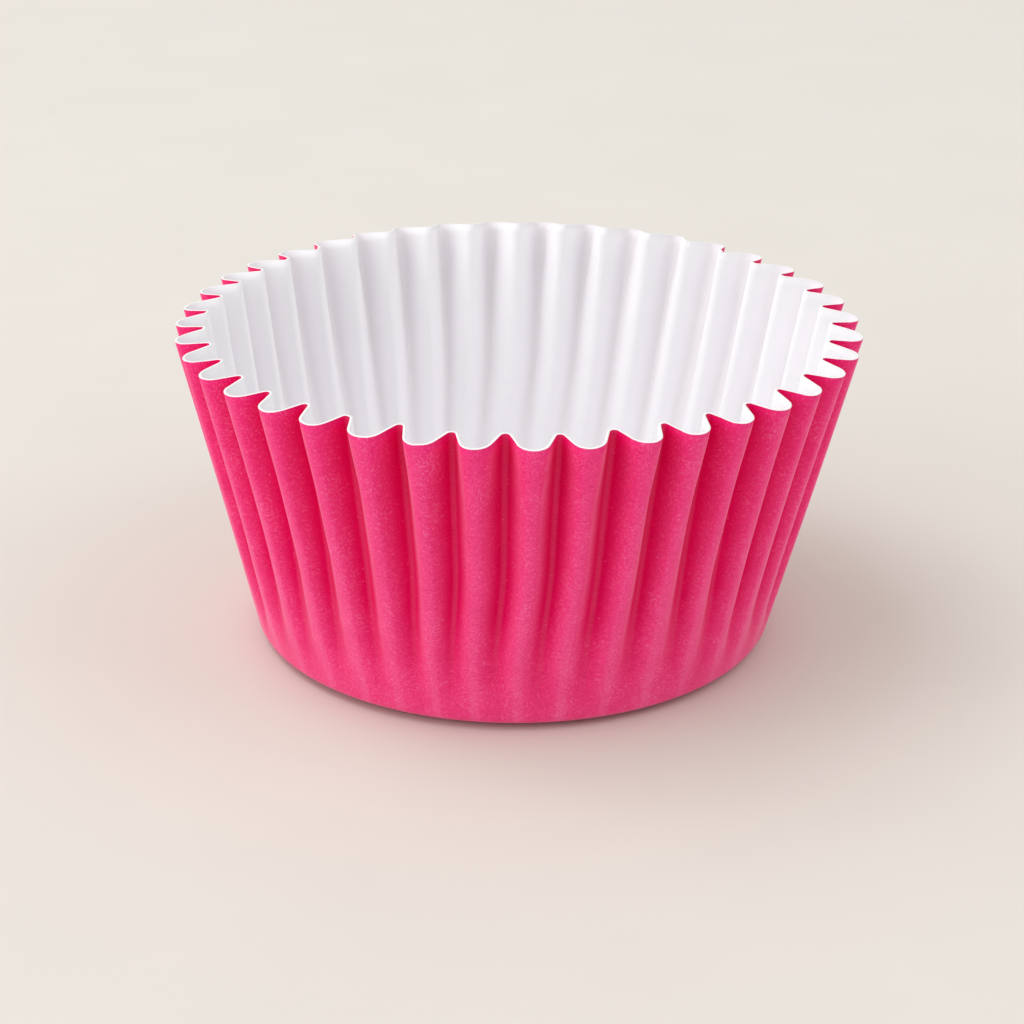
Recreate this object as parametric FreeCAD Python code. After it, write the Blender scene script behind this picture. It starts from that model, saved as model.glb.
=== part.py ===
import FreeCAD, Part
import math
import os
from FreeCAD import Placement, Rotation, Vector

# Paper candy cup: one thin sheet pressed into a round dish with a fluted wall.
# Millimetres. The cup stands on z = 0 with its axis on Z and a crest on +X.

# Whole cup, on the outer face of the sheet
RIM_RADIUS = 21.75      # axis to a crest, at the rim
RIM_HEIGHT = 20.16      # table to a crest, at the rim
BASE_RADIUS = 16.73     # axis to where the line of the wall meets the table
BEND_RADIUS = 1.05      # bend between the base and the wall
PAPER = 0.15            # thickness of the sheet
RIM_DIP = 8.0           # degrees that the cut edge falls from a valley out to a crest

# Flutes, at the rim
FLUTES = 40
RIM_DEPTH = 1.95        # crest to valley
RIM_CROWN = 1.00        # radius of a crest
RIM_ROOT = 0.26         # radius of a valley

# Flutes, part of the way up the wall, where the crests are still broad and flat
WAIST_RISE = 10.40      # up the wall from the base
WAIST_DEPTH = 1.00
WAIST_CROWN = 0.72
WAIST_ROOT = 0.15

# Plain band of wall between the bend and the foot of the flutes
PLAIN_OUTSIDE = 1.80
PLAIN_INSIDE = 0.50

# Flat facets across half a crest and half a valley
CROWN_FACETS = 4
ROOT_FACETS = 3

AXIS = Vector(0, 0, 1)
ORIGIN = Vector(0, 0, 0)
HALF_PITCH = math.pi / FLUTES
LEAN = math.atan2(RIM_RADIUS - BASE_RADIUS, RIM_HEIGHT)
WALL_RISE = math.hypot(RIM_RADIUS - BASE_RADIUS, RIM_HEIGHT)
UPHILL = Vector(math.sin(LEAN), 0, math.cos(LEAN))
INWARD = Vector(-math.cos(LEAN), 0, math.sin(LEAN))
TILT = math.radians(RIM_DIP)
BEND_RUN = BEND_RADIUS / math.tan((math.pi / 2 + LEAN) / 2)


def turned(point, angle):
    """A point turned about the cup's axis."""
    return Rotation(AXIS, math.degrees(angle)).multVec(point)


def mirrored(point):
    """The same point on the other side of the crest at +X."""
    return Vector(point.x, -point.y, point.z)


def on_wall(rise, inset):
    """Point of a crest line, this far up the wall and this far in from its outer face."""
    return Vector(BASE_RADIUS, 0, 0) + UPHILL * rise + INWARD * inset


class Level:
    """Section plane across the wall. It tips down towards the crest, like the cut edge."""

    def __init__(self, rise, depth, crown, root):
        crest = on_wall(rise, 0)
        hub = Vector(0, 0, crest.z + crest.x * math.tan(TILT))
        self.plane = Placement(hub, Rotation(Vector(0, 1, 0), RIM_DIP))
        self.half = math.atan(math.tan(HALF_PITCH) * math.cos(TILT))
        self.crown = crown
        self.root = root
        self.crown_reach = crest.x / math.cos(TILT) - crown
        self.root_reach = crest.x / math.cos(TILT) - depth + root

    def root_centre(self):
        return Vector(math.cos(self.half), math.sin(self.half), 0) * self.root_reach

    def flank(self):
        """Angle of the straight side between a crest and a valley that touch it."""
        link = self.root_centre() - Vector(self.crown_reach, 0, 0)
        return math.atan2(link.y, link.x) - math.acos((self.crown + self.root) / link.Length)

    def land(self, flank):
        """Half the flat on top of a crest, for a side at this angle."""
        centre = self.root_centre()
        gap = self.crown + self.root - (centre.x - self.crown_reach) * math.cos(flank)
        return centre.y - gap / math.sin(flank)

    def outline(self, flank, land, inset):
        """Half a flute, from its crest to its valley."""
        crown_centre = Vector(self.crown_reach, land, 0)
        points = facet_arc(crown_centre, self.crown - inset, 0, flank, CROWN_FACETS)
        points += facet_arc(self.root_centre(), self.root + inset,
                            math.pi + flank, math.pi + self.half, ROOT_FACETS)
        return [self.plane.multVec(point) for point in points]


def facet_arc(centre, radius, start, end, facets):
    """Corners of the flats that stand for an arc."""
    angles = [start + (end - start) * i / facets for i in range(facets + 1)]
    return [centre + Vector(math.cos(a), math.sin(a), 0) * radius for a in angles]


def flat(*corners):
    """Flat face between these corners."""
    return Part.Face(Part.makePolygon(list(corners) + [corners[0]]))


def both_sides(*corners):
    """Flat face on one half of a flute, and its mirror image on the other half."""
    return [flat(*corners), flat(*[mirrored(corner) for corner in corners])]


def flute_skin(rim, waist, inset, plain):
    """One flute of one face of the sheet, from the bend up to the rim."""
    flank = rim.flank()
    top = rim.outline(flank, 0, inset)
    middle = waist.outline(flank, waist.land(flank), inset)
    foot = turned(on_wall(BEND_RUN + plain, inset), HALF_PITCH)
    faces = [flat(mirrored(foot), foot, middle[0], mirrored(middle[0]))]
    faces.append(flat(mirrored(middle[0]), middle[0], top[0]))
    for i in range(len(top) - 1):
        faces += both_sides(foot, middle[i], middle[i + 1])
        faces += both_sides(middle[i], middle[i + 1], top[i + 1], top[i])
    bend_top = on_wall(BEND_RUN, inset)
    round_edge = Part.Arc(turned(bend_top, -HALF_PITCH), bend_top, turned(bend_top, HALF_PITCH))
    straight_edge = Part.LineSegment(mirrored(foot), foot)
    faces.append(Part.makeRuledSurface(round_edge.toShape(), straight_edge.toShape()))
    return faces


def rim_edge(rim):
    """Cut edge of the sheet across one flute."""
    outer = rim.outline(rim.flank(), 0, 0)
    inner = rim.outline(rim.flank(), 0, PAPER)
    outer = [mirrored(point) for point in outer[:0:-1]] + outer
    inner = [mirrored(point) for point in inner[:0:-1]] + inner
    return flat(*(outer + inner[::-1]))


def base_skin(inset):
    """Flat base and round bend of one face of the sheet."""
    radius = BEND_RADIUS - inset
    centre = Vector(BASE_RADIUS - BEND_RUN, 0, BEND_RADIUS)
    half_turn = (math.pi / 2 - LEAN) / 2
    low = centre - AXIS * radius
    middle = centre + Vector(math.sin(half_turn), 0, -math.cos(half_turn)) * radius
    bend = Part.Arc(low, middle, on_wall(BEND_RUN, inset)).toShape()
    disc = Part.Face(Part.Wire(Part.makeCircle(low.x, Vector(0, 0, low.z))))
    return [disc] + bend.revolve(ORIGIN, AXIS, 360).Faces


def paper_cup():
    rim = Level(WALL_RISE, RIM_DEPTH, RIM_CROWN, RIM_ROOT)
    waist = Level(WAIST_RISE, WAIST_DEPTH, WAIST_CROWN, WAIST_ROOT)
    flute = flute_skin(rim, waist, 0, PLAIN_OUTSIDE)
    flute += flute_skin(rim, waist, PAPER, PLAIN_INSIDE)
    flute.append(rim_edge(rim))
    faces = base_skin(0) + base_skin(PAPER)
    for i in range(FLUTES):
        for face in flute:
            copy = face.copy()
            copy.rotate(ORIGIN, AXIS, 360 * i / FLUTES)
            faces.append(copy)
    sheet = Part.makeCompound(faces)
    sheet.sewShape()
    cup = Part.Solid(sheet.Shells[0])
    if cup.Volume < 0:
        cup.reverse()
    return cup


os.makedirs("parts", exist_ok=True)
cup = paper_cup()
cup.exportStep("parts/paper_cup.step")
print("paper_cup", cup.isValid(), len(cup.Faces), cup.Volume, cup.BoundBox)
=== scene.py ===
import math
import random

import bmesh
import bpy
from bpy.props import (FloatProperty, FloatVectorProperty, IntProperty,
                       PointerProperty)
from mathutils import Matrix, Vector, noise


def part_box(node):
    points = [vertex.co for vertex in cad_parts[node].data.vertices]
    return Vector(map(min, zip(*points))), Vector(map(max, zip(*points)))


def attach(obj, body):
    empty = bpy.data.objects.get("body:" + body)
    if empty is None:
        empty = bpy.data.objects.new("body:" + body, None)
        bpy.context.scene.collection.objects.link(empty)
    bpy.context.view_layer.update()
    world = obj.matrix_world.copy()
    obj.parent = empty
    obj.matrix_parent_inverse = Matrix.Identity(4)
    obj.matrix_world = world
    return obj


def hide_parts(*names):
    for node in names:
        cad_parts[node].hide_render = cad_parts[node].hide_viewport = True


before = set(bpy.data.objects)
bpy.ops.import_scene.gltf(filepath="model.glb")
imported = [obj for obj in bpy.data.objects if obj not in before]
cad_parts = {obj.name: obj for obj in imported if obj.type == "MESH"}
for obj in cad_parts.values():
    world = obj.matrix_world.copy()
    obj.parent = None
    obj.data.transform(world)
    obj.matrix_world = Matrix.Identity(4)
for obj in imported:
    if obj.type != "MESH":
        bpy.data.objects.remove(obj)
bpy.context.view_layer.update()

CUP_LOW, CUP_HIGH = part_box("paper_cup")

bl_info = {
    "name": "Paper Candy Cup",
    "version": (1, 0, 0),
    "blender": (4, 5, 0),
    "location": "View3D > Sidebar > Candy Cup",
    "description": "Builds a fluted paper candy cup and a plain studio stage",
    "category": "Add Mesh",
}

CUP_NAME = "fluted_paper_cup"
FLUTE_LAYER = "flute_depth"
RISE_LAYER = "wall_rise"

# The camera and the lamps stand turned by this much about the cup's axis
VIEW_TURN = math.radians(-3.0)

# Places of the three papers among the cup's material slots
OUTSIDE, INSIDE, CUT_EDGE = 0, 1, 2


# Settings --------------------------------------------------------------------

class CupSettings(bpy.types.PropertyGroup):
    """Sizes and colours of the cup"""

    rim_radius: FloatProperty(
        name="Rim Radius", description="From the axis to a crest at the rim",
        default=CUP_HIGH.x, min=0.005, unit="LENGTH", precision=5)
    rim_height: FloatProperty(
        name="Rim Height", description="From the table to a crest at the rim",
        default=0.02016, min=0.005, unit="LENGTH", precision=5)
    base_radius: FloatProperty(
        name="Base Radius", description="From the axis to where the wall's line meets the table",
        default=0.01673, min=0.004, unit="LENGTH", precision=5)
    bend_radius: FloatProperty(
        name="Bend Radius", description="Round bend between the base and the wall",
        default=0.00082, min=0.0002, unit="LENGTH", precision=5)
    paper: FloatProperty(
        name="Paper", description="Thickness of the sheet",
        default=0.00015, min=0.00005, unit="LENGTH", precision=5)
    rim_dip: FloatProperty(
        name="Rim Dip", description="Fall of the cut edge from a valley out to a crest",
        default=math.radians(8), subtype="ANGLE", unit="ROTATION")
    flutes: IntProperty(
        name="Flutes", description="Number of flutes round the wall",
        default=40, min=8, max=80)
    flute_depth: FloatProperty(
        name="Flute Depth", description="From a crest to a valley at the rim",
        default=0.00195, min=0.0, unit="LENGTH", precision=5)
    crest_radius: FloatProperty(
        name="Crest Radius", description="Round of a crest at the rim",
        default=0.001, min=0.0001, unit="LENGTH", precision=5)
    valley_radius: FloatProperty(
        name="Valley Radius", description="Round of a valley at the rim",
        default=0.00026, min=0.00005, unit="LENGTH", precision=5)
    crease_radius: FloatProperty(
        name="Crease Radius", description="Round of a crest where the fold is sharp",
        default=0.0003, min=0.00005, unit="LENGTH", precision=5)
    back_dip: FloatProperty(
        name="Back Dip", description="Fall of the cut edge from valley to crest at the back",
        default=math.radians(14.5), subtype="ANGLE", unit="ROTATION")
    flute_start: FloatProperty(
        name="Flute Start", description="Share of the wall's rise at which the flutes begin",
        default=0.07, min=0.0, max=0.9, subtype="FACTOR")
    unevenness: FloatProperty(
        name="Unevenness", description="How much the pressed flutes differ from each other",
        default=1.0, min=0.0, max=2.0, subtype="FACTOR")
    seed: IntProperty(
        name="Seed", description="Picks one set of small differences between the flutes",
        default=7, min=0)
    outside_colour: FloatVectorProperty(
        name="Outside", description="Colour of the outer face of the paper",
        default=(0.98, 0.064, 0.262), size=3, min=0.0, max=1.0, subtype="COLOR")
    # Painted highlight: a paler pink along the crests, where they would catch the light
    crest_light_colour: FloatVectorProperty(
        name="Crests", description="Paler colour of the dye along the rubbed crests",
        default=(1.0, 0.098, 0.305), size=3, min=0.0, max=1.0, subtype="COLOR")
    # Painted shade: a deeper, darker pink on the sides of the flutes
    side_shade_colour: FloatVectorProperty(
        name="Folds", description="Deeper colour of the dye on the sides of the flutes",
        default=(0.80, 0.0005, 0.11), size=3, min=0.0, max=1.0, subtype="COLOR")
    inside_colour: FloatVectorProperty(
        name="Inside", description="Colour of the inner face of the paper",
        default=(0.95, 0.937, 0.957), size=3, min=0.0, max=1.0, subtype="COLOR")
    edge_colour: FloatVectorProperty(
        name="Cut Edge", description="Colour of the cut edge of the paper",
        default=(0.95, 0.94, 0.94), size=3, min=0.0, max=1.0, subtype="COLOR")


class StageSettings(bpy.types.PropertyGroup):
    """Floor, light and camera"""

    floor_colour: FloatVectorProperty(
        name="Floor", description="Colour of the floor",
        default=(0.735, 0.699, 0.648), size=3, min=0.0, max=1.0, subtype="COLOR")
    floor_size: FloatProperty(
        name="Floor Size", description="Half the width of the floor",
        default=4.0, min=0.5, unit="LENGTH")
    sky_strength: FloatProperty(
        name="Sky", description="Strength of the even light from all round",
        default=0.70, min=0.0)
    key_power: FloatProperty(
        name="Key Power", description="Power of the large soft lamp high on the left",
        default=2.6, min=0.0, unit="POWER")
    side_power: FloatProperty(
        name="Side Power", description="Power of the large soft lamp low on the left",
        default=3.75, min=0.0, unit="POWER")
    fill_power: FloatProperty(
        name="Fill Power", description="Power of the large soft lamp high on the right",
        default=1.85, min=0.0, unit="POWER")
    back_power: FloatProperty(
        name="Back Power", description="Power of the large soft lamp behind on the left",
        default=1.5, min=0.0, unit="POWER")
    camera_place: FloatVectorProperty(
        name="Camera", description="Where the camera stands",
        default=(0.0, -0.15928, 0.07589), size=3, subtype="TRANSLATION", unit="LENGTH")
    camera_turn: FloatVectorProperty(
        name="Camera Turn", description="Tilt, roll and heading of the camera",
        default=(math.radians(66.695), math.radians(0.344), math.radians(0.035)),
        size=3, subtype="EULER", unit="ROTATION")
    camera_lens: FloatProperty(
        name="Lens", description="Focal length in millimetres on a 36 mm sensor",
        default=93.13, min=10.0)


# Node helpers ----------------------------------------------------------------

def add_node(tree, kind, x, y, **values):
    """Adds a node. Values name its properties or, failing that, its input sockets."""
    node = tree.nodes.new(kind)
    node.location = (x * 200, y * 200)
    for name, value in values.items():
        if hasattr(node, name):
            setattr(node, name, value)
        else:
            node.inputs[name.replace("_", " ")].default_value = value
    return node


def maths(tree, operation, x, y, first, second=None, third=None, clamp=False):
    """Adds a Math node fed by sockets or plain numbers and returns its output."""
    node = tree.nodes.new("ShaderNodeMath")
    node.operation = operation
    node.use_clamp = clamp
    node.location = (x * 200, y * 200)
    for socket, value in zip(node.inputs, (first, second, third)):
        if isinstance(value, bpy.types.NodeSocket):
            tree.links.new(value, socket)
        elif value is not None:
            socket.default_value = value
    return node.outputs[0]


def blend_colour(tree, x, y, factor, first, second, mode="MIX"):
    """Adds a colour Mix node and returns its output."""
    node = tree.nodes.new("ShaderNodeMix")
    node.data_type = "RGBA"
    node.blend_type = mode
    node.location = (x * 200, y * 200)
    for index, value in ((0, factor), (6, first), (7, second)):
        if isinstance(value, bpy.types.NodeSocket):
            tree.links.new(value, node.inputs[index])
        else:
            node.inputs[index].default_value = value
    return node.outputs[2]


def new_group(name, inputs, outputs):
    """Starts a shader node group. Inputs are (name, default), outputs are names."""
    tree = bpy.data.node_groups.new(name, "ShaderNodeTree")
    for label, default in inputs:
        socket = tree.interface.new_socket(label, in_out="INPUT", socket_type="NodeSocketFloat")
        socket.default_value = default
    for label in outputs:
        tree.interface.new_socket(label, in_out="OUTPUT", socket_type="NodeSocketFloat")
    given = tree.nodes.new("NodeGroupInput")
    given.location = (-2000, 0)
    made = tree.nodes.new("NodeGroupOutput")
    made.location = (1400, 0)
    return tree, given.outputs, made.inputs


def use_group(tree, group, x, y, **values):
    """Places a group in a material with its own values and returns its outputs."""
    node = tree.nodes.new("ShaderNodeGroup")
    node.node_tree = group
    node.location = (x * 200, y * 200)
    for name, value in values.items():
        node.inputs[name.replace("_", " ")].default_value = value
    return node.outputs


def new_material(name):
    """Starts a material and returns it with its node tree and its shader."""
    material = bpy.data.materials.new(name)
    material.use_nodes = True
    tree = material.node_tree
    shader = tree.nodes["Principled BSDF"]
    shader.location = (1200, 400)
    tree.nodes["Material Output"].location = (1500, 400)
    return material, tree, shader


def shade(colour, factor=1.0):
    """A colour made lighter or darker, with the alpha that a socket needs."""
    return tuple(min(1.0, part * factor) for part in colour) + (1.0,)


# Shared effects --------------------------------------------------------------

# Scales of the paper's markings, in cells of the texture per metre
MOTTLE_SCALE = 420.0
FINE_SCALE = 7000.0
STRAND_SCALE = 9000.0
PATCH_SCALE = 1700.0    # patches in which all strands lie one way
FLECK_SCALE = 3800.0

STRAND_STRETCH = 0.22   # scale along a strand, against 1 across it
FLECK_RADIUS = 0.16     # of the fleck's own cell
FLECK_RARITY = 0.88     # share of the cells that have no fleck


def paper_grain_group():
    """Matted fibres, mottle and small flecks of the paper."""
    name = "Paper Grain"
    if name in bpy.data.node_groups:
        return bpy.data.node_groups[name]
    tree, given, made = new_group(
        name,
        [("Scale", 1.0), ("Mottle", 0.5), ("Fibres", 0.5), ("Flecks", 0.5)],
        ["Tone", "Height", "Fleck"])
    place = add_node(tree, "ShaderNodeTexCoord", -8, 2).outputs["Object"]

    def texture(kind, x, y, scale, vector, **values):
        """Adds a texture whose scale follows the group's own and returns its outputs."""
        node = add_node(tree, kind, x, y, **values)
        size = maths(tree, "MULTIPLY", x - 1, y + 0.5, given["Scale"], scale)
        tree.links.new(vector, node.inputs["Vector"])
        tree.links.new(size, node.inputs["Scale"])
        return node.outputs

    def weighed(y, value, amount):
        """Centres a value of 0 to 1 on 0 and weighs it by one of the group's inputs."""
        centred = maths(tree, "SUBTRACT", -2, y, value, 0.5)
        return maths(tree, "MULTIPLY", -1, y, centred, given[amount])

    mottle = texture("ShaderNodeTexNoise", -3, 6, MOTTLE_SCALE, place,
                     Detail=3.0, Distortion=0.4)
    mottle = weighed(6, mottle["Fac"], "Mottle")
    fine = texture("ShaderNodeTexNoise", -3, 4, FINE_SCALE, place, Detail=2.0, Roughness=0.7)
    fine = weighed(4, fine["Fac"], "Fibres")
    # Short strands: in each small patch the coordinates turn their own way before they stretch
    patches = texture("ShaderNodeTexVoronoi", -7, 2, PATCH_SCALE, place)
    turn = add_node(tree, "ShaderNodeVectorMath", -6, 1, operation="SCALE", Scale=math.tau)
    tree.links.new(patches["Color"], turn.inputs[0])
    turned = add_node(tree, "ShaderNodeVectorRotate", -5, 2, rotation_type="EULER_XYZ")
    tree.links.new(place, turned.inputs["Vector"])
    tree.links.new(turn.outputs[0], turned.inputs["Rotation"])
    drawn = add_node(tree, "ShaderNodeMapping", -4, 1, vector_type="POINT",
                     Scale=(1.0, 1.0, STRAND_STRETCH))
    tree.links.new(turned.outputs[0], drawn.inputs["Vector"])
    strands = texture("ShaderNodeTexNoise", -3, 2, STRAND_SCALE, drawn.outputs[0], Detail=1.0)
    strands = weighed(2, strands["Fac"], "Fibres")

    spots = texture("ShaderNodeTexVoronoi", -3, -3, FLECK_SCALE, place)
    near = maths(tree, "LESS_THAN", -2, -3, spots["Distance"], FLECK_RADIUS)
    pick = add_node(tree, "ShaderNodeSeparateColor", -2, -4)
    tree.links.new(spots["Color"], pick.inputs["Color"])
    rare = maths(tree, "GREATER_THAN", -1, -4, pick.outputs["Red"], FLECK_RARITY)
    fleck = maths(tree, "MULTIPLY", 0, -3, near, rare)
    fleck = maths(tree, "MULTIPLY", 1, -3, fleck, given["Flecks"])

    tone = maths(tree, "ADD", 4, 4, mottle, fine)
    tone = maths(tree, "ADD", 5, 3, strands, tone)
    tone = maths(tree, "ADD", 6, 3, tone, 0.5)
    height = maths(tree, "ADD", 5, 0, fine, strands)
    tree.links.new(tone, made["Tone"])
    tree.links.new(height, made["Height"])
    tree.links.new(fleck, made["Fleck"])
    return tree


def pressed_fold_group():
    """Where the press has bent the sheet: crests, sides and valley lines, fading to the base."""
    name = "Pressed Fold"
    if name in bpy.data.node_groups:
        return bpy.data.node_groups[name]
    tree, given, made = new_group(
        name, [("Crest Width", 0.2), ("Side Start", 0.15), ("Side Full", 0.6),
               ("Line Width", 0.1), ("Fade", 2.0)],
        ["Crest", "Side", "Line", "Rise"])
    depth = add_node(tree, "ShaderNodeAttribute", -5, 1, attribute_name=FLUTE_LAYER)
    rise = add_node(tree, "ShaderNodeAttribute", -5, -1, attribute_name=RISE_LAYER)
    fade = maths(tree, "MULTIPLY", -3, -1, rise.outputs["Fac"], given["Fade"], clamp=True)
    crest = add_node(tree, "ShaderNodeMapRange", -3, 5, interpolation_type="SMOOTHSTEP",
                     From_Max=0.0)
    tree.links.new(depth.outputs["Fac"], crest.inputs["Value"])
    tree.links.new(given["Crest Width"], crest.inputs["From Min"])
    side = add_node(tree, "ShaderNodeMapRange", -3, 1, interpolation_type="SMOOTHSTEP")
    tree.links.new(depth.outputs["Fac"], side.inputs["Value"])
    tree.links.new(given["Side Start"], side.inputs["From Min"])
    tree.links.new(given["Side Full"], side.inputs["From Max"])
    side = maths(tree, "MULTIPLY", -1, 1, side.outputs["Result"], fade)
    line_start = maths(tree, "SUBTRACT", -4, 3, 1.0, given["Line Width"])
    line = maths(tree, "SUBTRACT", -3, 3, depth.outputs["Fac"], line_start)
    line = maths(tree, "DIVIDE", -2, 3, line, given["Line Width"], clamp=True)
    line = maths(tree, "MULTIPLY", -1, 3, line, fade)
    tree.links.new(crest.outputs["Result"], made["Crest"])
    tree.links.new(side, made["Side"])
    tree.links.new(line, made["Line"])
    tree.links.new(rise.outputs["Fac"], made["Rise"])
    return tree


# Papers ----------------------------------------------------------------------

FIBRE_HEIGHT = 0.00003  # how far the fibres stand out, in metres

# Dyed face
RIM_DYE = (0.96, 0.52, 0.79, 1.0)        # multiplies the dye, more and more towards the rim
# Painted light: a paler, greyer line along the bottom of each valley
VALLEY_LIGHT = (0.80, 0.055, 0.16, 1.0)    # duller line along a valley
PALE_STRANDS = (1.0, 0.30, 0.50, 1.0)
DARK_STRANDS = (0.55, 0.0, 0.05, 1.0)
PALE_FLECKS = (1.0, 0.55, 0.68, 1.0)
# Painted sheen: a paler pink where the sheet turns away from the view
GRAZING_SHEEN = (1.0, 0.36, 0.52, 1.0)    # fine fuzz, seen where the sheet turns away
THROWN_LIGHT = (0.82, 0.43, 0.42, 1.0)   # what the dye throws onto the floor
THROWN_REACH = 0.005                     # metres over which thrown light loses the dye's colour

# White face: darker, pinker colour in the grooves, partly the dye behind it showing through and
# partly painted shade
SHOW_THROUGH_AND_SHADE = (0.74, 0.67, 0.71, 1.0)


def matt_finish(tree, shader, grain, roughness, spread, relief):
    """Roughness that follows the tone of the grain, and fibres in relief."""
    rough = maths(tree, "MULTIPLY_ADD", 4, 0, grain["Tone"], spread, roughness)
    tree.links.new(rough, shader.inputs["Roughness"])
    bump = add_node(tree, "ShaderNodeBump", 4, -2, Strength=relief, Distance=FIBRE_HEIGHT)
    tree.links.new(grain["Height"], bump.inputs["Height"])
    tree.links.new(bump.outputs["Normal"], shader.inputs["Normal"])


def outside_paper(settings):
    """Dyed face: matt, with painted shade on the sides of the flutes, painted highlights on the
    crests and along the valley bottoms, a painted sheen where the sheet turns away, and pale
    strands and flecks.
    """
    material, tree, shader = new_material("dyed_paper")
    grain = use_group(tree, paper_grain_group(), -6, 1,
                      Scale=1.0, Mottle=0.5, Fibres=0.9, Flecks=0.6)
    fold = use_group(tree, pressed_fold_group(), -6, -1, Crest_Width=0.12,
                     Side_Start=0.05, Side_Full=0.9, Line_Width=0.07, Fade=2.5)

    def cover(body, x, amount, strength, colour):
        """Lays a colour over the body, as much as the amount and the strength say."""
        share = maths(tree, "MULTIPLY", x, 4, amount, strength, clamp=True)
        return blend_colour(tree, x, 3, share, body, colour)

    # Painted highlight: the crests take a paler pink
    body = blend_colour(tree, -5, 3, fold["Crest"], shade(settings.outside_colour),
                        shade(settings.crest_light_colour))
    body = blend_colour(tree, -4, 3, fold["Rise"], body, RIM_DYE, "MULTIPLY")
    # Painted shade: the sides of the flutes take a deeper, darker pink, fading towards the base
    body = blend_colour(tree, -3, 3, fold["Side"], body, shade(settings.side_shade_colour))
    # Painted light along the bottom of each valley
    body = cover(body, -2, fold["Line"], 0.55, VALLEY_LIGHT)
    # Strands show where the grain is palest and darkest. The pale ones keep to the crests, off
    # the painted shade on the sides
    crown = maths(tree, "MULTIPLY_ADD", -4, 0, fold["Side"], -0.9, 1.0, clamp=True)
    strands = maths(tree, "SUBTRACT", -4, 1, grain["Tone"], 0.5)
    pale = maths(tree, "MULTIPLY_ADD", -3, 1, strands, 1.3, -0.08, clamp=True)
    body = cover(body, -1, pale, crown, PALE_STRANDS)
    body = cover(body, 0, strands, -0.9, DARK_STRANDS)
    body = cover(body, 1, grain["Fleck"], 0.25, PALE_FLECKS)
    # Painted sheen: where the sheet turns away from the view, the colour turns paler, as fine
    # fuzz catching the light would
    grazing_sheen_share = add_node(tree, "ShaderNodeLayerWeight", -1, 6, Blend=0.5)
    grazing_sheen_share = maths(tree, "POWER", 0, 6, grazing_sheen_share.outputs["Facing"], 3.0)
    grazing_sheen_share = maths(tree, "MULTIPLY", 1, 6, grazing_sheen_share, 0.55)
    body = cover(body, 2, grazing_sheen_share, crown, GRAZING_SHEEN)
    # What the paper throws onto the floor round it is weaker and greyer than its own colour
    path = add_node(tree, "ShaderNodeLightPath", -1, 8)
    reach = maths(tree, "DIVIDE", 1, 8, path.outputs["Ray Length"], THROWN_REACH, clamp=True)
    thrown = maths(tree, "MULTIPLY", 2, 7, path.outputs["Is Diffuse Ray"], reach)
    body = cover(body, 3, thrown, 0.82, THROWN_LIGHT)
    tree.links.new(body, shader.inputs["Base Color"])
    shader.inputs["Specular IOR Level"].default_value = 0.05
    shader.inputs["Sheen Weight"].default_value = 0.03
    shader.inputs["Sheen Roughness"].default_value = 0.3
    matt_finish(tree, shader, grain, roughness=0.5, spread=0.2, relief=0.35)
    return material


def inside_paper(settings):
    """White face: darker and pinker in the grooves, partly the dye on the other side showing
    through faintly and partly painted shade.
    """
    material, tree, shader = new_material("white_paper")
    grain = use_group(tree, paper_grain_group(), -6, 1,
                      Scale=0.9, Mottle=0.8, Fibres=0.3, Flecks=0.0)
    fold = use_group(tree, pressed_fold_group(), -6, -1,
                     Side_Start=0.7, Side_Full=0.0, Line_Width=0.15, Fade=3.0)
    colour = settings.inside_colour
    body = blend_colour(tree, -2, 3, grain["Tone"], shade(colour, 0.97), shade(colour, 1.02))
    # Painted shade, mixed with the dye showing through: the grooves are darker and pinker
    shown_and_shaded = maths(tree, "MULTIPLY_ADD", -1, 1, fold["Side"], 0.36, 0.02)
    body = blend_colour(tree, 0, 3, shown_and_shaded, body, SHOW_THROUGH_AND_SHADE)
    tree.links.new(body, shader.inputs["Base Color"])
    shader.inputs["Specular IOR Level"].default_value = 0.2
    matt_finish(tree, shader, grain, roughness=0.62, spread=0.15, relief=0.25)
    return material


def cut_edge_paper(settings):
    """Cut edge: bare white fibres."""
    material, tree, shader = new_material("cut_paper_edge")
    grain = use_group(tree, paper_grain_group(), -6, 1,
                      Scale=2.0, Mottle=0.4, Fibres=0.8, Flecks=0.0)
    colour = settings.edge_colour
    body = blend_colour(tree, -2, 3, grain["Tone"], shade(colour, 0.93), shade(colour, 1.03))
    tree.links.new(body, shader.inputs["Base Color"])
    matt_finish(tree, shader, grain, roughness=0.8, spread=0.1, relief=0.5)
    return material


# Cup -------------------------------------------------------------------------

BEND_STEPS = 8       # segments of the round bend
WALL_CUTS = 33       # rows of the wall
BASE_CUTS = 4        # rings of the base
CROWN_STEPS = 5      # columns across half a crest
FLANK_STEPS = 2      # columns across the straight side of a flute
ROOT_STEPS = 4       # columns across half a valley
HALF_STEPS = CROWN_STEPS + FLANK_STEPS + ROOT_STEPS
MERGE_DISTANCE = 1e-7

# Growth of the flutes up the wall, in shares of its rise
FLUTE_GROWTH = 0.85   # a power: below 1, they deepen fastest near the base
FLUTE_ONSET = 0.08    # how softly they set in
FOOT_FADE = 0.2       # below this they die away, so that the foot is plain
PLAIN_BASE = 0.5      # share of the base's radius that the press leaves alone

# Sharpness of the folds, from 0 for a round crest to 1 for a crease. It is 0 at the rim at
# the front and 1 on the wall at the back
WALL_SHARPNESS = 0.5   # on the wall at the front
BACK_SHARPNESS = 0.45  # at the rim at the back
RIM_BAND = 0.25        # share of the rise, below the rim, over which the folds sharpen
# The back begins where the cosine of the angle from its middle passes the first value, and
# is complete where it has grown by the second
BACK_FROM, BACK_BLEND = 0.62, 0.22

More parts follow.
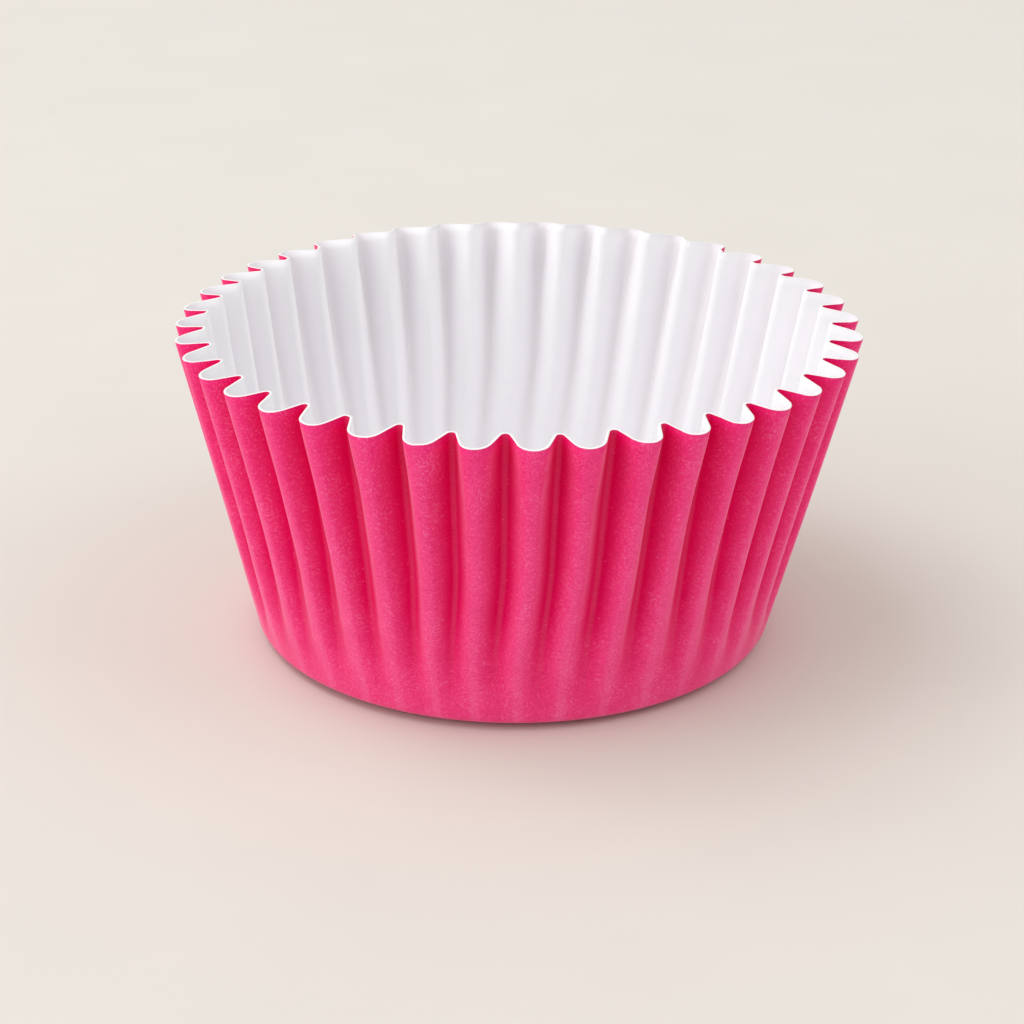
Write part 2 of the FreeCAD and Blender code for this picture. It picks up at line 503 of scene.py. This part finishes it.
# Small chance differences from fold to fold
TURN_SPREAD = 0.022   # of the pitch, in where a fold stands
TWIST_SPREAD = 0.05   # of the pitch, in how far its foot stands off its top
DEPTH_SPREAD = 0.035  # of its depth
BOW_SPREAD = 0.00004  # metres that its crest bows out

# Slow swings of the folds round the cup: waves, degrees, and where each is greatest
SPACING_SWINGS = ((1, 1.83, 159), (2, 0.91, -29), (3, 0.42, -23), (4, 0.28, 89),
                  (5, 0.15, -137))
# The same for how the feet of the flutes stand turned against their tops
FOOT_SWINGS = ((0, 0.71, 0), (1, 0.57, 55), (2, 1.26, -107), (3, 0.66, -159))
# The same again for the lowest stretch, from none at the first rise to all at the second
BASE_SWINGS = ((1, 1.25, 145), (5, 0.7, -166))
BASE_SWINGS_FROM, BASE_SWINGS_FULL = 0.58, 0.18

# Spring of the sheet, in metres: the base rests on its middle
BASE_LIFT = 0.0003    # edge of the base, off the table
WALL_LIFT = 0.0002    # wall and rim
LIFT_FROM, LIFT_FULL = 0.6, 0.95  # shares of the base's radius between which it rises
WALL_LEAN = 0.00027   # how far the rim leans to one side

# Ruffle of the cut edge: long waves and small nicks, in cells of noise per metre and metres
WAVE_CELLS, WAVE_HEIGHT = 160, 0.00005
NICK_CELLS, NICK_HEIGHT = 2600, 0.000022
NICK_OFFSET = Vector((5, 0, 0))  # keeps the two patterns apart
RUFFLE_BAND = 0.1     # share of the rise, below the rim, that the ruffle reaches


class FluteSection:
    """Section of half a flute: crest of one radius, straight side, valley of another."""

    def __init__(self, cup, crown, root):
        self.half = math.pi / cup.flutes
        self.radius = cup.rim_radius
        self.depth = cup.flute_depth
        crown_centre = Vector((self.radius - crown, 0.0))
        reach = self.radius - self.depth + root
        root_centre = Vector((math.cos(self.half), math.sin(self.half))) * reach
        link = root_centre - crown_centre
        if link.length <= crown + root:
            raise ValueError("The crests and valleys are too round for this pitch and depth")
        side = math.atan2(link.y, link.x) - math.acos((crown + root) / link.length)
        crest = [self.on_arc(crown_centre, crown, side * i / CROWN_STEPS)
                 for i in range(CROWN_STEPS + 1)]
        valley = [self.on_arc(root_centre, -root, side + (self.half - side) * i / ROOT_STEPS)
                  for i in range(ROOT_STEPS + 1)]
        flank = [crest[-1].lerp(valley[0], i / FLANK_STEPS) for i in range(1, FLANK_STEPS)]
        self.stops = [self.measure(point) for point in crest + flank + valley]

    @staticmethod
    def on_arc(centre, radius, turn):
        return centre + Vector((math.cos(turn), math.sin(turn))) * radius

    def measure(self, point):
        """Share of the half pitch and share of the depth at a point of the section."""
        return (math.atan2(point.y, point.x) / self.half,
                (self.radius - point.length) / self.depth)


def smooth(share):
    """Eases from 0 to 1."""
    share = min(1.0, max(0.0, share))
    return share * share * (3 - 2 * share)


def swing(angle, swings):
    """Turn of the folds at an angle: they crowd together in places and open out in others."""
    return math.radians(sum(size * math.cos(waves * angle - math.radians(start))
                            for waves, size, start in swings))


def fold_profile(cup):
    """Half section of the plain dish: a few points, the bend rounded and the wall cut in rows."""
    bm = bmesh.new()
    middle = bm.verts.new((0, 0, 0))
    corner = bm.verts.new((cup.base_radius, 0, 0))
    rim = bm.verts.new((cup.rim_radius, 0, cup.rim_height))
    bm.edges.new((middle, corner))
    bm.edges.new((corner, rim))
    lean = math.atan2(cup.rim_radius - cup.base_radius, cup.rim_height)
    run = cup.bend_radius / math.tan((math.pi / 2 + lean) / 2)
    bmesh.ops.bevel(bm, geom=[corner], offset=run, offset_type="OFFSET", affect="VERTICES",
                    segments=BEND_STEPS, profile=0.5, material=-1)
    # The base and the wall are the two longest edges, and the wall is the higher one
    longest = sorted(bm.edges, key=lambda edge: edge.calc_length())[-2:]
    base, wall = sorted(longest, key=lambda edge: edge.verts[0].co.z + edge.verts[1].co.z)
    bmesh.ops.subdivide_edges(bm, edges=[wall], cuts=WALL_CUTS)
    bmesh.ops.subdivide_edges(bm, edges=[base], cuts=BASE_CUTS)
    return bm


def chance_differences(cup):
    """One entry for each crest and each valley, in turn, with its own small differences."""
    draw = random.Random(cup.seed)
    pitch = math.tau / cup.flutes

    def small(size):
        return draw.gauss(0.0, size) * cup.unevenness

    return [{"turn": small(TURN_SPREAD) * pitch, "twist": small(TWIST_SPREAD) * pitch,
             "depth": small(DEPTH_SPREAD), "bow": small(BOW_SPREAD)}
            for _ in range(2 * cup.flutes)]


def depth_at(cup, rise):
    """Depth of the flutes at this share of the wall's rise."""
    grown = (rise - cup.flute_start) / (1 - cup.flute_start)
    grown = (grown + math.hypot(grown, FLUTE_ONSET)) / 2
    return cup.flute_depth * grown ** FLUTE_GROWTH * smooth(rise / FOOT_FADE)


def press_flutes(bm, cup):
    """Moves the plain dish's points in from the crests to press the flutes."""
    columns = cup.flutes * 2 * HALF_STEPS
    half_pitch = math.pi / cup.flutes
    wall = Vector((cup.rim_radius - cup.base_radius, cup.rim_height))
    rounded = FluteSection(cup, cup.crest_radius, cup.valley_radius)
    creased = FluteSection(cup, cup.crease_radius, cup.valley_radius)
    folds = chance_differences(cup)
    depth_layer = bm.verts.layers.float.new(FLUTE_LAYER)
    rise_layer = bm.verts.layers.float.new(RISE_LAYER)
    for vert in bm.verts:
        radius = math.hypot(vert.co.x, vert.co.y)
        if radius < cup.base_radius * PLAIN_BASE:
            continue
        angle = math.atan2(vert.co.y, vert.co.x)
        column = round(angle / math.tau * columns) % columns
        half_flute, step = divmod(column, HALF_STEPS)
        # Even halves run crest to valley and odd halves valley to crest
        odd = half_flute % 2
        if odd:
            step = HALF_STEPS - step
        crest = folds[(half_flute + odd) % len(folds)]
        valley = folds[half_flute + 1 - odd]
        offset = Vector((radius - cup.base_radius, vert.co.z))
        rise = max(0.0, offset.dot(wall) / wall.length_squared)
        bearing = (half_flute + odd) * half_pitch
        # Sharper folds below the rim, most of all at the back, where the edge dips more too.
        # The front is where the camera stands
        facing = math.cos(bearing + math.pi / 2 - VIEW_TURN)
        behind = smooth((-facing - BACK_FROM) / BACK_BLEND)
        below = smooth((1 - rise) / RIM_BAND)
        sharp = max(behind * (BACK_SHARPNESS + (1 - BACK_SHARPNESS) * below),
                    WALL_SHARPNESS * below)
        across, drop = (plain + (keen - plain) * sharp
                        for plain, keen in zip(rounded.stops[step], creased.stops[step]))
        dip = cup.rim_dip + (cup.back_dip - cup.rim_dip) * behind
        bearing += across * half_pitch * (-1 if odd else 1)
        turn = crest["turn"] * (1 - across) + valley["turn"] * across
        twist = crest["twist"] * (1 - across) + valley["twist"] * across
        bearing += turn * min(1.0, rise * 2) + twist * (1 - rise)
        front = bearing + math.pi / 2 - VIEW_TURN
        lowest = smooth((BASE_SWINGS_FROM - rise) / (BASE_SWINGS_FROM - BASE_SWINGS_FULL))
        bearing += cup.unevenness * (swing(front, SPACING_SWINGS) +
                                     swing(front, FOOT_SWINGS) * (1 - rise) +
                                     swing(front, BASE_SWINGS) * lowest)
        inset = depth_at(cup, rise) * (1 + valley["depth"]) * drop
        out = radius - inset * math.cos(dip)
        out += crest["bow"] * (1 - drop) * math.sin(math.pi * rise)
        height = vert.co.z + inset * math.sin(dip)
        vert.co = (out * math.cos(bearing), out * math.sin(bearing), height)
        vert[depth_layer] = drop
        vert[rise_layer] = rise


def relax_sheet(bm, cup):
    """Springs the base and the wall off the table, leans the wall and ruffles the cut edge."""
    for vert in bm.verts:
        spot = Vector((vert.co.x, vert.co.y, 0.0))
        rise = max(0.0, vert.co.z / cup.rim_height)
        outward = (spot.length / cup.base_radius - LIFT_FROM) / (LIFT_FULL - LIFT_FROM)
        lift = BASE_LIFT + (WALL_LIFT - BASE_LIFT) * smooth(rise / FOOT_FADE)
        ruffle = (noise.noise(spot * WAVE_CELLS) * WAVE_HEIGHT +
                  noise.noise(spot * NICK_CELLS + NICK_OFFSET) * NICK_HEIGHT)
        near_rim = min(1.0, max(0.0, rise - (1 - RUFFLE_BAND)) / RUFFLE_BAND)
        vert.co.z += (lift * smooth(outward) + ruffle * near_rim) * cup.unevenness
        vert.co.x += WALL_LEAN * rise ** 2 * cup.unevenness


class OBJECT_OT_paper_cup(bpy.types.Operator):
    """Build the fluted paper cup"""

    bl_idname = "object.candy_cup_add"
    bl_label = "Fluted Paper Cup"

    def execute(self, context):
        cup = context.scene.candy_cup
        if not cup.bend_radius < cup.base_radius < cup.rim_radius:
            raise ValueError("The base has to be wider than its bend and narrower than the rim")
        bm = fold_profile(cup)
        bmesh.ops.spin(bm, geom=bm.verts[:] + bm.edges[:], cent=(0, 0, 0), axis=(0, 0, 1),
                       angle=math.tau, steps=cup.flutes * 2 * HALF_STEPS, use_merge=True)
        bmesh.ops.remove_doubles(bm, verts=bm.verts, dist=MERGE_DISTANCE)
        bmesh.ops.recalc_face_normals(bm, faces=bm.faces)
        # The dish is open at the top, so that faces which point outwards look down on the whole
        if sum(face.normal.z * face.calc_area() for face in bm.faces) > 0:
            bmesh.ops.reverse_faces(bm, faces=bm.faces)
        press_flutes(bm, cup)
        relax_sheet(bm, cup)
        for face in bm.faces:
            face.smooth = True
        mesh = bpy.data.meshes.new(CUP_NAME)
        bm.to_mesh(mesh)
        bm.free()
        piece = bpy.data.objects.new(CUP_NAME, mesh)
        context.scene.collection.objects.link(piece)
        for paper in (outside_paper(cup), inside_paper(cup), cut_edge_paper(cup)):
            mesh.materials.append(paper)
        sheet = piece.modifiers.new("Sheet", "SOLIDIFY")
        sheet.thickness = cup.paper
        sheet.offset = -1.0
        sheet.use_even_offset = True
        sheet.use_quality_normals = True
        sheet.material_offset = INSIDE
        sheet.material_offset_rim = CUT_EDGE
        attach(piece, "root")
        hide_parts("paper_cup")
        return {"FINISHED"}


# Stage -----------------------------------------------------------------------

FLOOR_GAP = 0.00003   # how far the floor lies below the cup, in metres
SENSOR_WIDTH = 36.0   # millimetres
NEAREST_SEEN = 0.01   # metres from the camera
FARTHEST_SEEN = 20.0

# Soft square lamps: name, place before the view's turn, width, and the setting with its power
LAMPS = (("key_lamp", (-0.42, 0.0, 0.9), 0.6, "key_power"),
         ("side_lamp", (-1.05, -0.62, 0.5), 0.8, "side_power"),
         ("fill_lamp", (0.8, -0.2, 0.9), 0.8, "fill_power"),
         ("back_lamp", (-0.7, 0.5, 0.95), 0.7, "back_power"))


def floor_material(settings):
    """Plain pale floor with a barely visible mottle."""
    material, tree, shader = new_material("pale_floor")
    place = add_node(tree, "ShaderNodeTexCoord", -4, 1)
    mottle = add_node(tree, "ShaderNodeTexNoise", -3, 1, Scale=60.0, Detail=4.0, Roughness=0.6)
    tree.links.new(place.outputs["Object"], mottle.inputs["Vector"])
    colour = settings.floor_colour
    body = blend_colour(tree, -1, 1, mottle.outputs["Fac"],
                        shade(colour, 0.97), shade(colour, 1.03))
    tree.links.new(body, shader.inputs["Base Color"])
    shader.inputs["Roughness"].default_value = 0.75
    return material


def studio_world(scene, settings):
    """Even light from all round, and a pale backdrop where the camera or a shiny face sees it."""
    world = bpy.data.worlds.new("studio")
    scene.world = world
    world.use_nodes = True
    tree = world.node_tree
    light = tree.nodes["Background"]
    light.inputs["Color"].default_value = (1.0, 1.0, 1.0, 1.0)
    light.inputs["Strength"].default_value = settings.sky_strength
    seen = add_node(tree, "ShaderNodeBackground", 0, -1)
    seen.inputs["Color"].default_value = shade(settings.floor_colour)
    path = add_node(tree, "ShaderNodeLightPath", -3, 2)
    rays = maths(tree, "MAXIMUM", -2, 2, path.outputs["Is Camera Ray"],
                 path.outputs["Is Glossy Ray"])
    rays = maths(tree, "MAXIMUM", -1, 2, rays, path.outputs["Is Transmission Ray"])
    mixer = add_node(tree, "ShaderNodeMixShader", 1, 1)
    tree.links.new(rays, mixer.inputs[0])
    tree.links.new(light.outputs[0], mixer.inputs[1])
    tree.links.new(seen.outputs[0], mixer.inputs[2])
    tree.links.new(mixer.outputs[0], tree.nodes["World Output"].inputs["Surface"])


def soft_lamp(scene, name, place, aim, width, power):
    """Square soft lamp at a place, turned to face a point."""
    lamp = bpy.data.lights.new(name, "AREA")
    lamp.shape = "SQUARE"
    lamp.size = width
    lamp.energy = power
    holder = bpy.data.objects.new(name, lamp)
    scene.collection.objects.link(holder)
    turn = (aim - place).to_track_quat("-Z", "Y")
    holder.matrix_world = Matrix.LocRotScale(place, turn, None)


class OBJECT_OT_cup_stage(bpy.types.Operator):
    """Build the plain floor, the soft light and the camera"""

    bl_idname = "object.candy_cup_stage_add"
    bl_label = "Studio Stage"

    def execute(self, context):
        scene = context.scene
        stage = scene.candy_cup_stage
        bm = bmesh.new()
        bmesh.ops.create_grid(bm, x_segments=1, y_segments=1, size=stage.floor_size)
        bmesh.ops.translate(bm, verts=bm.verts, vec=(0, 0, CUP_LOW.z - FLOOR_GAP))
        mesh = bpy.data.meshes.new("pale_floor")
        bm.to_mesh(mesh)
        bm.free()
        mesh.materials.append(floor_material(stage))
        floor = bpy.data.objects.new("pale_floor", mesh)
        scene.collection.objects.link(floor)
        studio_world(scene, stage)
        middle = Vector((0.0, 0.0, CUP_HIGH.z / 2))
        stand = Matrix.Rotation(VIEW_TURN, 4, "Z")
        for name, place, width, power in LAMPS:
            soft_lamp(scene, name, stand @ Vector(place), middle, width, getattr(stage, power))
        lens = bpy.data.cameras.new("camera")
        lens.lens = stage.camera_lens
        lens.sensor_width = SENSOR_WIDTH
        lens.clip_start = NEAREST_SEEN
        lens.clip_end = FARTHEST_SEEN
        camera = bpy.data.objects.new("camera", lens)
        scene.collection.objects.link(camera)
        tilt, roll, heading = stage.camera_turn
        turn = (Matrix.Rotation(heading, 4, "Z") @ Matrix.Rotation(tilt, 4, "X") @
                Matrix.Rotation(roll, 4, "Z"))
        camera.matrix_world = stand @ Matrix.Translation(stage.camera_place) @ turn
        scene.camera = camera
        scene.view_settings.view_transform = "Standard"
        return {"FINISHED"}


# Panel and registration ------------------------------------------------------

class VIEW3D_PT_candy_cup(bpy.types.Panel):
    """Lists the pieces of the cup and their settings"""

    bl_label = "Paper Candy Cup"
    bl_idname = "VIEW3D_PT_candy_cup"
    bl_space_type = "VIEW_3D"
    bl_region_type = "UI"
    bl_category = "Candy Cup"

    def draw(self, context):
        scene = context.scene
        for operator, settings in ((OBJECT_OT_paper_cup, scene.candy_cup),
                                   (OBJECT_OT_cup_stage, scene.candy_cup_stage)):
            box = self.layout.box()
            box.operator(operator.bl_idname)
            for name in settings.bl_rna.properties.keys():
                if name not in {"rna_type", "name"}:
                    box.prop(settings, name)


CLASSES = (CupSettings, StageSettings, OBJECT_OT_paper_cup, OBJECT_OT_cup_stage,
           VIEW3D_PT_candy_cup)


def register():
    """Adds the classes and the two groups of settings."""
    for each in CLASSES:
        bpy.utils.register_class(each)
    bpy.types.Scene.candy_cup = PointerProperty(type=CupSettings)
    bpy.types.Scene.candy_cup_stage = PointerProperty(type=StageSettings)


def unregister():
    """Takes the settings and the classes away again."""
    del bpy.types.Scene.candy_cup_stage
    del bpy.types.Scene.candy_cup
    for each in reversed(CLASSES):
        bpy.utils.unregister_class(each)


def main():
    """Builds the stage and the cup."""
    register()
    bpy.ops.object.candy_cup_stage_add()
    bpy.ops.object.candy_cup_add()


if __name__ == "__main__":
    main()
